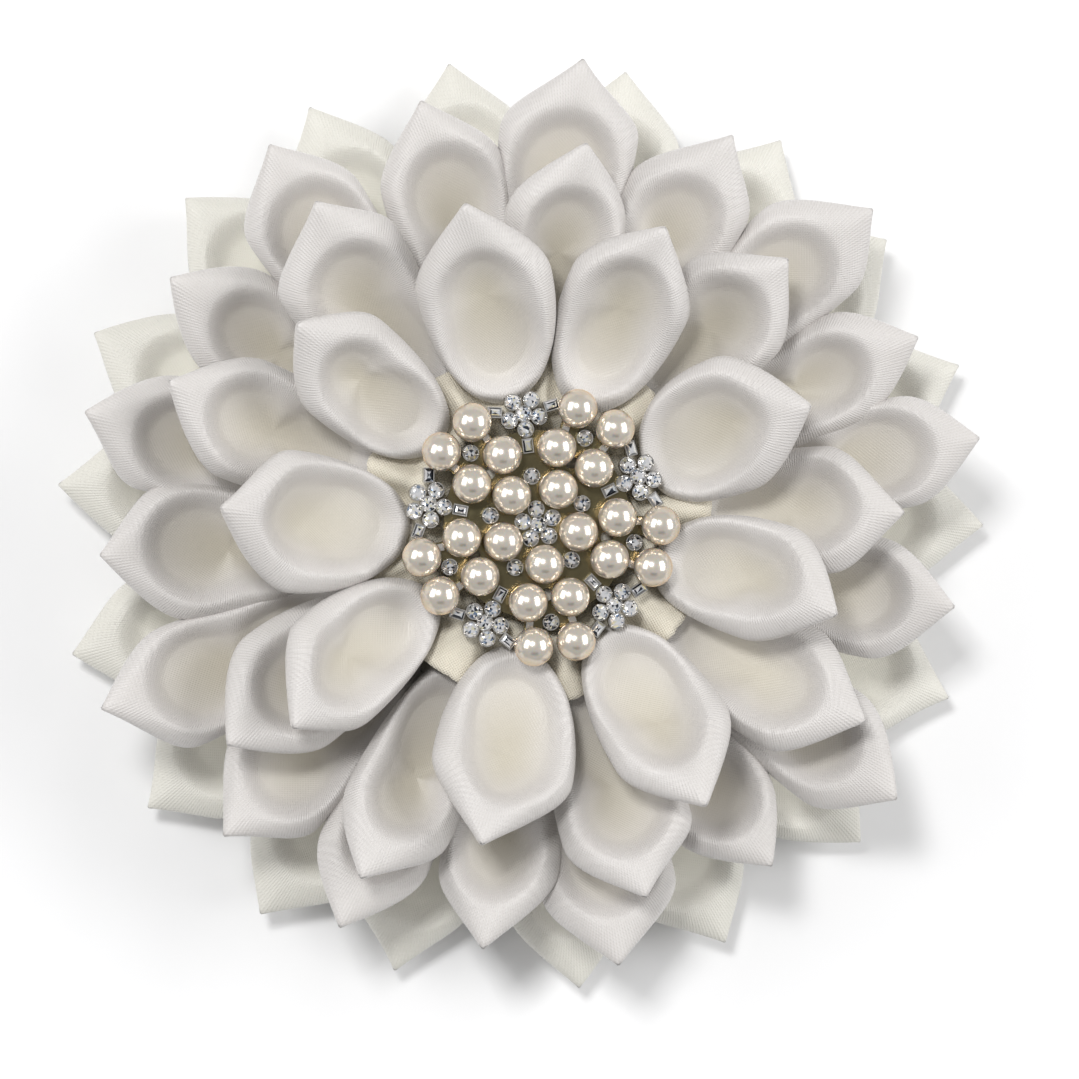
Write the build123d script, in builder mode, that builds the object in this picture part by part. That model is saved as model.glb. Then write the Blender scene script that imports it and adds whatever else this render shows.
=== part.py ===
from build123d import *
import os
from math import cos, radians, sin, tan

# Layered ribbon flower on a sprung hair clip, millimetres.
# The flower lies face up: +Z points out of its face, X runs along the clip.
# The origin is under the middle of the flower, level with its lowest petals.

os.makedirs("parts", exist_ok=True)

# ---------------------------------------------------------------- driving sizes

# Petal rows: radius and height of the cup's root, its rise in degrees and greatest width,
# and the gathered root block as inner and outer radius, lower and upper face.
ROW_1 = dict(root=17.5, z=23.9, rise=25.0, widest=16.0, block=(13.5, 19.0, 22.6, 24.9))
ROW_2 = dict(root=20.0, z=20.2, rise=16.0, widest=16.5, block=(15.0, 20.8, 18.6, 21.8))
ROW_3 = dict(root=22.5, z=16.3, rise=6.0, widest=15.5, block=(18.0, 23.5, 14.6, 18.0))
ROW_4 = dict(root=24.5, z=12.0, rise=-19.8, widest=16.0, block=(21.0, 26.0, 10.6, 14.0))

# Where each petal points, in degrees from +X, and how far its tip reaches from the axis.
PETALS_1 = [(24, 36.5), (68, 40), (104, 41), (141, 39.5), (177, 40.5),
            (219, 40), (259, 40.5), (300, 40.5), (343, 38.5)]
PETALS_2 = [(2, 46.5), (47, 46), (83, 48.5), (125, 49.5), (159, 50),
            (215, 48), (243, 50), (286, 49), (329, 48.5)]
PETALS_3 = [(11, 58.5), (26, 55), (43, 59.5), (63, 56), (84, 60), (105, 56),
            (125, 59), (146, 56), (166, 59), (184, 55.5), (203, 60), (225, 56),
            (244, 57), (263, 54.5), (281, 57.5), (305, 53.5), (323, 58.5), (349, 55.5)]
PETALS_4 = [(0, 61), (20, 61), (38, 61), (56, 61), (77, 61), (99, 61),
            (117, 61), (136, 61), (156, 61), (175, 60.5), (196, 61), (217, 61),
            (236, 61), (254, 60.5), (277, 61), (296, 61), (317, 61), (338, 61)]
PETAL_WALL = 1.0
PETAL_CROSS_RADIUS = 12.0
PETAL_LENGTH_RADIUS = 110.0
PETAL_GAP = 0.5
WIDEST_FROM_TIP = 10.5
TIP_BLUNT = 0.8

# Fabric discs, as radius, lower face and upper face.
BACK_FELT = (26.0, 9.6, 10.6)
DISC_3 = (23.5, 14.0, 14.6)
DISC_2 = (20.5, 18.0, 18.6)
MESH_DISC = (19.5, 21.8, 22.6)
JEWEL_PAD = (11.5, 22.6, 26.0)
PAD_EDGE = 0.6

# Jewel: polar places in each fifth, counted from the middle of that fifth.
SECTOR_AXIS = 61.5
SECTOR_STEP = 72.0
PLATE_LOW = 26.0
PLATE_TOP = 27.0
PLATE_RADIUS = 12.0
PEARL_LOBE = 2.0
SPOKE = (8.0, 2.4)
SPOKE_MIDDLE = 11.75
WINDOW_REACH = 9.0
WINDOW_RADIUS = 0.8
LINK = (1.1, 0.9)
LINK_REACH = 12.9
LINK_ANGLE = 12.4
PEARL_RADIUS = 2.5
PEARL_SEAT_DEPTH = 0.2
PEARL_PLACES = [(5.1, 0), (10.0, -15.6), (10.0, 15.6), (15.5, -10), (15.5, 10)]
STONE_RADIUS = 0.92
CUP_WALL = 0.14
CUP_HEIGHT = 0.8
STONE_SEAT = 0.3
STONE_CROWN = 0.45
CROWN_TAPER = 40.0
SINGLE_PLACES = [(12.5, 0), (6.2, 36)]
CLUSTER_RADIUS = 14.2
CLUSTER_RING = 2.0
BAGUETTE = (1.6, 1.1)
BAGUETTE_SIDE_REACH = 3.7
BAGUETTE_SIDE_ANGLE = 80.0
BAGUETTE_INNER_REACH = 4.1
FIT = 0.02

# Hair clip.
PRONG_LOW = 9.0
PRONG_TOP = 9.6
PRONG_TIP_X = -24.0
PRONG_TAIL_X = 22.0
PRONG_WIDTH = 8.0
PRONG_TIP_WIDTH = 6.0
EAR_WALL = 0.6
HINGE_X = 4.0
HINGE_Z = 6.0
EAR_HALF_LENGTH = 3.2
PIN_RADIUS = 0.9
PIN_RUNNING_GAP = 0.05
LEVER_HALF_WIDTH = 3.1
LEVER_WALL = 0.6
LEVER_BED = 3.1
LEVER_EAR_WALL = 0.5
TEETH = 4
FIRST_TOOTH_X = -21.4
TOOTH_PITCH = 1.5
TOOTH_TOP = 8.75
PATCH_START_X = -15.0
PATCH_LENGTH = 11.0
SPRING_WIRE = 0.3
SPRING_MEAN = 1.75
SPRING_TURNS = 4.5
SPRING_PITCH = 0.8


# ---------------------------------------------------------------------- petals

def petal_plane(row, azimuth):
    """The petal's own plane: x out along it, y across it, z out of its hollow face."""
    a = radians(azimuth)
    t = radians(row["rise"])
    root = (row["root"] * cos(a), row["root"] * sin(a), row["z"])
    along = (cos(a) * cos(t), sin(a) * cos(t), sin(t))
    normal = (-cos(a) * sin(t), -sin(a) * sin(t), cos(t))
    return Plane(origin=root, x_dir=along, z_dir=normal)


def room_beside(petals, index):
    """The angle in degrees to this petal's nearer neighbour."""
    here = petals[index][0]
    before = (here - petals[index - 1][0]) % 360
    after = (petals[(index + 1) % len(petals)][0] - here) % 360
    return min(before, after)


def make_petal(row, petals, index):
    """One folded ribbon petal: a pointed hollow cup with a flat gathered root."""
    azimuth, reach = petals[index]
    half_room = tan(radians(room_beside(petals, index) / 2))
    plane = petal_plane(row, azimuth)
    length = (reach - row["root"]) / cos(radians(row["rise"]))
    shoulder = length - WIDEST_FROM_TIP
    width = min(row["widest"], 2 * (reach - WIDEST_FROM_TIP) * half_room - PETAL_GAP)
    root_width = min(8.0, 2 * row["root"] * half_room - PETAL_GAP)
    root_in, root_out, root_low, root_top = row["block"]
    block_width = min(7.0, 2 * root_in * half_room - PETAL_GAP)
    middle = plane.origin + plane.x_dir * (length / 2)
    across = Plane(origin=middle, x_dir=plane.y_dir, z_dir=plane.x_dir)
    spin = Axis(middle + plane.z_dir * PETAL_LENGTH_RADIUS, plane.y_dir)
    with BuildPart() as petal:
        with BuildSketch(plane.offset(-PETAL_WALL)):
            with BuildLine():
                Polyline(
                    (0, root_width / 2), (shoulder, width / 2), (length, TIP_BLUNT / 2),
                    (length, -TIP_BLUNT / 2), (shoulder, -width / 2), (0, -root_width / 2),
                    close=True,
                )
            make_face()
        extrude(amount=PETAL_CROSS_RADIUS / 2)
        sides = petal.edges().filter_by(Axis(plane.origin, plane.z_dir))
        fillet(sides.sort_by(Axis(plane.origin, plane.y_dir))[0], 4)
        sides = petal.edges().filter_by(Axis(plane.origin, plane.z_dir))
        fillet(sides.sort_by(Axis(plane.origin, plane.y_dir))[-1], 4)
        with BuildSketch(across):
            with Locations((0, PETAL_CROSS_RADIUS)):
                Circle(PETAL_CROSS_RADIUS + PETAL_WALL / 2)
                Circle(PETAL_CROSS_RADIUS - PETAL_WALL / 2, mode=Mode.SUBTRACT)
            with Locations((0, PETAL_CROSS_RADIUS * 1.5)):
                Rectangle(40, PETAL_CROSS_RADIUS * 2, mode=Mode.SUBTRACT)
        revolve(axis=spin, revolution_arc=360, mode=Mode.INTERSECT)
        a = radians(azimuth)
        foot = Plane(
            origin=(root_in * cos(a), root_in * sin(a), root_low),
            x_dir=(cos(a), sin(a), 0),
            z_dir=(0, 0, 1),
        )
        with BuildSketch(foot):
            Rectangle(root_out - root_in, block_width, align=(Align.MIN, Align.CENTER))
        extrude(amount=root_top - root_low)
    return petal.part


for row_name, row, petals in (
    ("petal_row1", ROW_1, PETALS_1),
    ("petal_row2", ROW_2, PETALS_2),
    ("petal_row3", ROW_3, PETALS_3),
):
    for index in range(len(petals)):
        label = f"{row_name}_{index + 1:02d}"
        solid = make_petal(row, petals, index)
        solid.label = label
        export_step(solid, f"parts/{label}.step")

# Two neighbouring petals of the outermost row share a file, as two separate solids.
for pair in range(len(PETALS_4) // 2):
    first = make_petal(ROW_4, PETALS_4, 2 * pair)
    second = make_petal(ROW_4, PETALS_4, 2 * pair + 1)
    label = f"petal_row4_pair_{pair + 1:02d}"
    with BuildPart() as petal_pair:
        add(first)
        add(second)
    petal_pair.part.label = label
    export_step(petal_pair.part, f"parts/{label}.step")


# ---------------------------------------------------------------------- fabric

for label, (radius, low, top) in (
    ("back_felt", BACK_FELT),
    ("row3_felt_disc", DISC_3),
    ("row2_felt_disc", DISC_2),
    ("mesh_disc", MESH_DISC),
):
    with BuildPart() as disc:
        with BuildSketch(Plane.XY.offset(low)):
            Circle(radius)
        extrude(amount=top - low)
    disc.part.label = label
    export_step(disc.part, f"parts/{label}.step")

with BuildPart() as jewel_pad:
    radius, low, top = JEWEL_PAD
    with BuildSketch(Plane.XY.offset(low)):
        Circle(radius)
    extrude(amount=top - low)
    fillet(jewel_pad.edges().sort_by(Axis.Z)[-1], PAD_EDGE)
jewel_pad.part.label = "jewel_pad"
export_step(jewel_pad.part, "parts/jewel_pad.step")


# ----------------------------------------------------------------------- jewel

def polar(radius, angle):
    """A point in the flower's plane from a radius and an angle in degrees."""
    return (radius * cos(radians(angle)), radius * sin(radians(angle)))


sector_axes = [SECTOR_AXIS + SECTOR_STEP * k for k in range(5)]
pearl_spots = [polar(r, axis + a) for axis in sector_axes for r, a in PEARL_PLACES]
single_spots = [polar(r, axis + a) for axis in sector_axes for r, a in SINGLE_PLACES]
cluster_axes = [axis + SECTOR_STEP / 2 for axis in sector_axes]

# Each star of stones has one in the middle and five round it, one of them inwards.
star_spots = [(0, 0)]
for axis in cluster_axes:
    star_spots.append(polar(CLUSTER_RING, axis))
for axis in cluster_axes:
    centre_x, centre_y = polar(CLUSTER_RADIUS, axis)
    star_spots.append((centre_x, centre_y))
    for k in range(5):
        dx, dy = polar(CLUSTER_RING, axis + 180 + SECTOR_STEP * k)
        star_spots.append((centre_x + dx, centre_y + dy))
stone_spots = single_spots + star_spots

# Three oblong stones stand off each outer star: two beside it and one inwards.
baguette_frames = []
for axis in cluster_axes:
    centre_x, centre_y = polar(CLUSTER_RADIUS, axis)
    for reach, turn in (
        (BAGUETTE_SIDE_REACH, BAGUETTE_SIDE_ANGLE),
        (BAGUETTE_SIDE_REACH, -BAGUETTE_SIDE_ANGLE),
        (BAGUETTE_INNER_REACH, 180),
    ):
        dx, dy = polar(reach, axis + turn)
        baguette_frames.append(Location((centre_x + dx, centre_y + dy, 0), (0, 0, axis + turn)))

seat_height = PLATE_TOP + STONE_SEAT
cup_top = PLATE_TOP + CUP_HEIGHT

with BuildPart() as jewel_base:
    # Plate: a middle disc with a round lobe under each outer pearl and each outer stone.
    with BuildSketch(Plane.XY.offset(PLATE_LOW)):
        Circle(PLATE_RADIUS)
        with Locations(*[polar(r, axis + a) for axis in sector_axes for r, a in PEARL_PLACES[3:]]):
            Circle(PEARL_LOBE)
        with Locations(*star_spots):
            Circle(STONE_RADIUS + CUP_WALL)
        for axis in sector_axes:
            for _, angle in PEARL_PLACES[3:]:
                spoke = polar(SPOKE_MIDDLE, axis + angle)
                with Locations(Location((*spoke, 0), (0, 0, axis + angle))):
                    Rectangle(*SPOKE)
        for frame in baguette_frames:
            with Locations(frame):
                Rectangle(BAGUETTE[0] + 2 * CUP_WALL, BAGUETTE[1] + 2 * CUP_WALL)
        # Openwork windows between the stars and the inner pearls.
        with Locations(*[polar(WINDOW_REACH, axis) for axis in sector_axes]):
            Circle(WINDOW_RADIUS, mode=Mode.SUBTRACT)
    extrude(amount=PLATE_TOP - PLATE_LOW)
    # Link bars between each outer pearl and the middle pearl before it.
    with BuildSketch(Plane.XY.offset(PLATE_TOP)):
        for axis in sector_axes:
            for side in (-1, 1):
                x, y = polar(LINK_REACH, axis + side * LINK_ANGLE)
                with Locations(Location((x, y, 0), (0, 0, axis + side * LINK_ANGLE))):
                    Rectangle(*LINK)
    extrude(amount=CUP_HEIGHT)
    # Setting cups.
    with BuildSketch(Plane.XY.offset(PLATE_TOP)):
        with Locations(*stone_spots):
            Circle(STONE_RADIUS + CUP_WALL)
        for frame in baguette_frames:
            with Locations(frame):
                Rectangle(BAGUETTE[0] + 2 * CUP_WALL, BAGUETTE[1] + 2 * CUP_WALL)
    extrude(amount=CUP_HEIGHT)
    with BuildSketch(Plane.XY.offset(seat_height)):
        with Locations(*stone_spots):
            Circle(STONE_RADIUS + FIT)
        for frame in baguette_frames:
            with Locations(frame):
                Rectangle(BAGUETTE[0] + 2 * FIT, BAGUETTE[1] + 2 * FIT)
    extrude(amount=CUP_HEIGHT, mode=Mode.SUBTRACT)
jewel_base.part.label = "jewel_base"
export_step(jewel_base.part, "parts/jewel_base.step")

with BuildPart() as pearls:
    # Each pearl is ground flat where it is glued to the plate.
    with Locations(*[(x, y, PLATE_TOP + PEARL_RADIUS - PEARL_SEAT_DEPTH) for x, y in pearl_spots]):
        Sphere(PEARL_RADIUS)
    split(bisect_by=Plane.XY.offset(PLATE_TOP), keep=Keep.TOP)
pearls.part.label = "pearls"
export_step(pearls.part, "parts/pearls.step")

with BuildPart() as round_stones:
    with BuildSketch(Plane.XY.offset(seat_height)):
        with Locations(*stone_spots):
            Circle(STONE_RADIUS)
    extrude(amount=cup_top - seat_height)
    crowns = round_stones.faces().filter_by(Axis.Z).group_by(Axis.Z)[-1]
    for crown in crowns:
        with BuildSketch(Plane(crown)):
            Circle(STONE_RADIUS)
        extrude(amount=STONE_CROWN, taper=CROWN_TAPER)
round_stones.part.label = "round_stones"
export_step(round_stones.part, "parts/round_stones.step")

with BuildPart() as baguettes:
    with BuildSketch(Plane.XY.offset(seat_height)):
        for frame in baguette_frames:
            with Locations(frame):
                Rectangle(*BAGUETTE)
    extrude(amount=cup_top - seat_height + STONE_CROWN)
    top_edges = baguettes.edges().group_by(Axis.Z)[-1]
    chamfer(top_edges, STONE_CROWN * 0.7)
baguettes.part.label = "baguettes"
export_step(baguettes.part, "parts/baguettes.step")


# ------------------------------------------------------------------- hair clip

hinge_side = Plane.XZ  # sketch x is +X and sketch y is +Z; it extrudes towards -Y

with BuildPart() as clip_base:
    # Upper prong, glued to the felt, with its jaw to -X and its tail to +X.
    with BuildSketch(Plane.XY.offset(PRONG_LOW)):
        Polygon(
            (PRONG_TIP_X, PRONG_TIP_WIDTH / 2), (0, PRONG_WIDTH / 2),
            (HINGE_X * 2, PRONG_WIDTH / 2), (PRONG_TAIL_X, PRONG_TIP_WIDTH / 2),
            (PRONG_TAIL_X, -PRONG_TIP_WIDTH / 2), (HINGE_X * 2, -PRONG_WIDTH / 2),
            (0, -PRONG_WIDTH / 2), (PRONG_TIP_X, -PRONG_TIP_WIDTH / 2),
            align=None,
        )
    extrude(amount=PRONG_TOP - PRONG_LOW)
    fillet(clip_base.edges().filter_by(Axis.Z).group_by(Axis.X)[0], 1.2)
    fillet(clip_base.edges().filter_by(Axis.Z).group_by(Axis.X)[-1], 2.0)
    # Hinge ears, folded down from both edges.
    for side in (-1, 1):
        outer = side * PRONG_WIDTH / 2
        with BuildSketch(hinge_side.offset(-outer)):
            with BuildLine():
                Line((HINGE_X - EAR_HALF_LENGTH, PRONG_LOW), (HINGE_X + EAR_HALF_LENGTH, PRONG_LOW))
                Line((HINGE_X + EAR_HALF_LENGTH, PRONG_LOW), (HINGE_X + 1.6, HINGE_Z - 0.6))
                ThreePointArc(
                    (HINGE_X + 1.6, HINGE_Z - 0.6),
                    (HINGE_X, HINGE_Z - 1.7),
                    (HINGE_X - 1.6, HINGE_Z - 0.6),
                )
                Line((HINGE_X - 1.6, HINGE_Z - 0.6), (HINGE_X - EAR_HALF_LENGTH, PRONG_LOW))
            make_face()
        extrude(amount=side * EAR_WALL)
    with BuildSketch(hinge_side):
        with Locations((HINGE_X, HINGE_Z)):
            Circle(PIN_RADIUS)
    extrude(amount=PRONG_WIDTH, both=True, mode=Mode.SUBTRACT)
clip_base.part.label = "clip_base"
export_step(clip_base.part, "parts/clip_base.step")

with BuildPart() as hinge_pin:
    with BuildSketch(hinge_side):
        with Locations((HINGE_X, HINGE_Z)):
            Circle(PIN_RADIUS)
    extrude(amount=PRONG_WIDTH / 2 + 0.4, both=True)
    # Riveted heads outside the ears.
    for side in (-1, 1):
        with BuildSketch(hinge_side.offset(-side * PRONG_WIDTH / 2)):
            with Locations((HINGE_X, HINGE_Z)):
                Circle(PIN_RADIUS + 0.4)
        extrude(amount=-side * 0.4)
    fillet(hinge_pin.edges().group_by(Axis.Y)[0], 0.2)
    fillet(hinge_pin.edges().group_by(Axis.Y)[-1], 0.2)
hinge_pin.part.label = "hinge_pin"
export_step(hinge_pin.part, "parts/hinge_pin.step")

with BuildPart() as clip_lever:
    # Lower prong: a bowed strip whose jaw closes on the upper prong at -X.
    with BuildSketch(hinge_side):
        with BuildLine() as centre_line:
            Spline((-22.6, 8.55), (-19.0, 6.0), (-11.0, 3.1), (0.0, 3.4), tangents=[(0.5, -1), (1, 0)])
            Line((0.0, 3.4), (8.0, 3.4))
            Line((8.0, 3.4), (23.0, 0.95))
        trace(line_width=LEVER_WALL)
    extrude(amount=LEVER_HALF_WIDTH, both=True)
    # Ears that stand up inside the upper prong's ears.
    for side in (-1, 1):
        with BuildSketch(hinge_side.offset(-side * LEVER_HALF_WIDTH)):
            with BuildLine():
                Line((HINGE_X - 3.0, LEVER_BED + 0.2), (HINGE_X + 3.0, LEVER_BED + 0.2))
                Line((HINGE_X + 3.0, LEVER_BED + 0.2), (HINGE_X + 1.6, HINGE_Z + 0.6))
                ThreePointArc(
                    (HINGE_X + 1.6, HINGE_Z + 0.6),
                    (HINGE_X, HINGE_Z + 1.7),
                    (HINGE_X - 1.6, HINGE_Z + 0.6),
                )
                Line((HINGE_X - 1.6, HINGE_Z + 0.6), (HINGE_X - 3.0, LEVER_BED + 0.2))
            make_face()
        extrude(amount=side * LEVER_EAR_WALL)
    # Toothed side flanges near the tip.
    for side in (-1, 1):
        with BuildSketch(hinge_side.offset(-side * LEVER_HALF_WIDTH)):
            for k in range(TEETH):
                tooth_x = FIRST_TOOTH_X + TOOTH_PITCH * k
                fall = 0.7 * k  # the flange follows the lever's bow
                with BuildLine():
                    Polyline(
                        (tooth_x - 0.6, 7.6 - fall), (tooth_x, TOOTH_TOP), (tooth_x + 0.6, 7.2 - fall),
                        (tooth_x + 0.6, 6.4 - fall), (tooth_x - 0.6, 6.9 - fall), close=True,
                    )
                make_face()
        extrude(amount=side * LEVER_EAR_WALL)
    with BuildSketch(hinge_side):
        with Locations((HINGE_X, HINGE_Z)):
            Circle(PIN_RADIUS + PIN_RUNNING_GAP)
    extrude(amount=PRONG_WIDTH, both=True, mode=Mode.SUBTRACT)
clip_lever.part.label = "clip_lever"
export_step(clip_lever.part, "parts/clip_lever.step")

coil_half = SPRING_TURNS * SPRING_PITCH / 2
with BuildPart() as torsion_spring:
    # Torsion spring coiled round the pin, starting and ending towards the tails.
    with BuildLine() as coil:
        Helix(
            pitch=SPRING_PITCH, height=2 * coil_half, radius=SPRING_MEAN,
            center=(HINGE_X, -coil_half, HINGE_Z), direction=(0, 1, 0),
        )
    with BuildSketch(coil.line ^ 0):
        Circle(SPRING_WIRE)
    sweep()
    # Legs: one lies under the upper prong's tail and one on the lever's tail.
    leg_start = HINGE_X - 0.1
    upper_leg = [(leg_start, HINGE_Z + SPRING_MEAN), (15.0, PRONG_LOW - SPRING_WIRE - 0.03)]
    lower_leg = [(leg_start, HINGE_Z - SPRING_MEAN), (9.0, 4.0), (15.0, 2.95)]
    for leg, y in ((upper_leg, (coil.line @ 0).Y), (lower_leg, (coil.line @ 1).Y)):
        with BuildLine() as run:
            Polyline(*[(x, y, z) for x, z in leg])
        with BuildSketch(run.line ^ 0):
            Circle(SPRING_WIRE)
        sweep(transition=Transition.ROUND)
torsion_spring.part.label = "torsion_spring"
export_step(torsion_spring.part, "parts/torsion_spring.step")

with BuildPart() as clip_patch:
    # Felt strip over the upper prong, glued to the back felt on both sides of it.
    with BuildSketch(Plane.YZ.offset(PATCH_START_X)):
        with BuildLine():
            Polyline(
                (9.5, 9.6), (9.5, 8.8), (5.0, 8.8), (4.6, 8.2), (-4.6, 8.2), (-5.0, 8.8),
                (-9.5, 8.8), (-9.5, 9.6), (-4.2, 9.6), (-4.1, 9.0), (4.1, 9.0), (4.2, 9.6), close=True,
            )
        make_face()
    extrude(amount=PATCH_LENGTH)
clip_patch.part.label = "clip_patch"
export_step(clip_patch.part, "parts/clip_patch.step")
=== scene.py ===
import math
import random
from types import SimpleNamespace

import bpy
import numpy as np
from mathutils import Matrix, Vector


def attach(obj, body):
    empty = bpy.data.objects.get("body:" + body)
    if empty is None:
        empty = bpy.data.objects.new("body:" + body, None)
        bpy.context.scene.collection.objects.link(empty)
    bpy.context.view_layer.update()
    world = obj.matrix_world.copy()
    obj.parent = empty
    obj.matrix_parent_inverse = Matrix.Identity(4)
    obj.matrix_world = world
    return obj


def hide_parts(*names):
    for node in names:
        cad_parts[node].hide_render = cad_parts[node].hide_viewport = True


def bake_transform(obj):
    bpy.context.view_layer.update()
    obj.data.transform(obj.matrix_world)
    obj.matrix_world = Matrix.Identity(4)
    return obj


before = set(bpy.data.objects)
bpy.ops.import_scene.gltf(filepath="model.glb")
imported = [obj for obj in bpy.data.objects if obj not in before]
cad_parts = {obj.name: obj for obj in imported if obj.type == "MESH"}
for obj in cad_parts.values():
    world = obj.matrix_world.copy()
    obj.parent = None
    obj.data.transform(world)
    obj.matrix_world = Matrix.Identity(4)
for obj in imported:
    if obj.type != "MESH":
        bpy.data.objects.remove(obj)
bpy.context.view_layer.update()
MM = 0.001


# ------------------------------------------------------------ node-tree helpers

def new_material(name):
    """A node material with only an output and a Principled shader, and both of them."""
    material = bpy.data.materials.new(name)
    material.use_nodes = True
    tree = material.node_tree
    tree.nodes.clear()
    output = tree.nodes.new("ShaderNodeOutputMaterial")
    shader = tree.nodes.new("ShaderNodeBsdfPrincipled")
    tree.links.new(shader.outputs[0], output.inputs["Surface"])
    return material, tree, shader


def add_node(tree, kind, inputs=None, **settings):
    """A node with its settings, and its sockets set from values or linked from other sockets."""
    node = tree.nodes.new(kind)
    for key, value in settings.items():
        setattr(node, key, value)
    for key, value in (inputs or {}).items():
        if isinstance(value, bpy.types.NodeSocket):
            tree.links.new(value, node.inputs[key])
        else:
            node.inputs[key].default_value = value
    return node


def mix_colour(tree, factor, low, high, blend="MIX"):
    """The colour between two colours, or one blended onto another."""
    node = add_node(
        tree, "ShaderNodeMix", {"Factor": factor, 6: low, 7: high}, data_type="RGBA", blend_type=blend
    )
    return node.outputs[2]


def maths(tree, operation, first, second, third=None):
    """A Math node's result; only MULTIPLY_ADD takes a third input."""
    inputs = {0: first, 1: second}
    if third is not None:
        inputs[2] = third
    return add_node(tree, "ShaderNodeMath", inputs, operation=operation).outputs[0]


def noise(tree, coordinates, scale, detail, **more):
    """A Noise texture's strength; more takes Roughness or Distortion."""
    inputs = {"Vector": coordinates, "Scale": scale, "Detail": detail, **more}
    return add_node(tree, "ShaderNodeTexNoise", inputs).outputs["Fac"]


def add_bump(tree, shader, height, strength, distance):
    bump = add_node(
        tree, "ShaderNodeBump", {"Height": height, "Strength": strength, "Distance": distance}
    )
    tree.links.new(bump.outputs[0], shader.inputs["Normal"])


# -------------------------------------------------------------------- materials

# Millimetres between ribs, and the scale at which Blender's wave repeats once a unit.
RIB_PITCH = 0.34
MESH_PITCH = 0.3
WAVE_PERIOD = 0.314159
# How fast the painted shade deepens into the cup; a higher power keeps the walls nearer the rim's colour.
CUP_PAINTED_SHADE_POWER = 2.5


def ribs(tree, coordinates, pitch, direction):
    """Parallel ribs of that pitch in millimetres, from 0 in the valleys to 1 on top."""
    return add_node(
        tree, "ShaderNodeTexWave", {"Vector": coordinates, "Scale": WAVE_PERIOD / pitch,
                                    "Distortion": 0.25, "Detail": 1.0, "Detail Scale": 0.6},
        wave_type="BANDS", bands_direction=direction, wave_profile="SIN",
    ).outputs["Fac"]


def satin(name, rim_colour, cup_painted_shade, shade):
    """Ribbon satin, its weft drawn across the rims, with painted shade: the colour turns darker and warmer
    down into the cup, for the cup's shade and the warm light bounced in it, and the valleys between
    threads are painted darker.
    """
    material, tree, shader = new_material(name)
    weave = add_node(tree, "ShaderNodeUVMap", uv_map="weave").outputs[0]
    rim = add_node(tree, "ShaderNodeUVMap", uv_map="rim").outputs[0]
    depth = add_node(tree, "ShaderNodeAttribute", attribute_name="depth").outputs["Fac"]
    drawn = ribs(tree, rim, RIB_PITCH, "X")
    weft = ribs(tree, weave, RIB_PITCH, "X")
    warp = ribs(tree, weave, RIB_PITCH * 0.8, "Y")
    blotch = noise(tree, weave, 0.18, 3.0, Roughness=0.55)
    speckle = noise(tree, weave, 2.6, 2.0)
    open_rim = maths(tree, "MULTIPLY", maths(tree, "SUBTRACT", 1.0, depth), 1.1)
    across = maths(tree, "MULTIPLY", maths(tree, "MULTIPLY", drawn, speckle), open_rim)
    plain_weave = maths(tree, "MULTIPLY", maths(tree, "ADD", weft, warp), 0.22)
    threads = maths(tree, "ADD", across, plain_weave)
    # Painted shade: from the rim's colour to the cup's darker, warmer one as the depth attribute grows.
    base = mix_colour(tree, maths(tree, "POWER", depth, CUP_PAINTED_SHADE_POWER), rim_colour, cup_painted_shade)
    mottled = mix_colour(tree, maths(tree, "MULTIPLY", blotch, 0.22), base, shade)
    # Painted shade: the valleys between threads are painted darker.
    valley = maths(tree, "MULTIPLY", maths(tree, "SUBTRACT", 0.9, threads), 0.28)
    colour = mix_colour(tree, valley, mottled, shade)
    tree.links.new(colour, shader.inputs["Base Color"])
    tree.links.new(maths(tree, "MULTIPLY_ADD", blotch, 0.15, 0.34), shader.inputs["Roughness"])
    add_bump(tree, shader, threads, 0.8, 0.08 * MM)
    shader.inputs["Sheen Weight"].default_value = 0.25
    shader.inputs["Sheen Roughness"].default_value = 0.35
    shader.inputs["Specular IOR Level"].default_value = 0.6
    shader.inputs["Anisotropic"].default_value = 0.4
    return material


def felt(name, light, dark):
    """Pressed felt: matted fibres, with a soft halo."""
    material, tree, shader = new_material(name)
    place = add_node(tree, "ShaderNodeTexCoord").outputs["Object"]
    fibres = noise(tree, place, 2600.0, 5.0, Roughness=0.7, Distortion=1.2)
    clumps = noise(tree, place, 260.0, 3.0)
    colour = mix_colour(tree, maths(tree, "MULTIPLY", fibres, clumps), light, dark)
    tree.links.new(colour, shader.inputs["Base Color"])
    add_bump(tree, shader, fibres, 0.7, 0.2 * MM)
    shader.inputs["Roughness"].default_value = 0.95
    shader.inputs["Sheen Weight"].default_value = 0.4
    shader.inputs["Sheen Roughness"].default_value = 0.6
    return material


def mesh_cloth(name, thread_colour, gap_colour):
    """Stiffened open-weave mesh: square threads over a darker ground."""
    material, tree, shader = new_material(name)
    weave = add_node(tree, "ShaderNodeUVMap", uv_map="weave").outputs[0]
    across = ribs(tree, weave, MESH_PITCH, "X")
    along = ribs(tree, weave, MESH_PITCH, "Y")
    threads = maths(tree, "MAXIMUM", across, along)
    blotch = noise(tree, weave, 0.35, 4.0)
    cloth = mix_colour(tree, maths(tree, "POWER", threads, 3.0), gap_colour, thread_colour)
    colour = mix_colour(tree, maths(tree, "MULTIPLY", blotch, 0.3), cloth, gap_colour)
    tree.links.new(colour, shader.inputs["Base Color"])
    add_bump(tree, shader, threads, 0.8, 0.1 * MM)
    shader.inputs["Roughness"].default_value = 0.75
    shader.inputs["Sheen Weight"].default_value = 0.2
    return material


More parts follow.
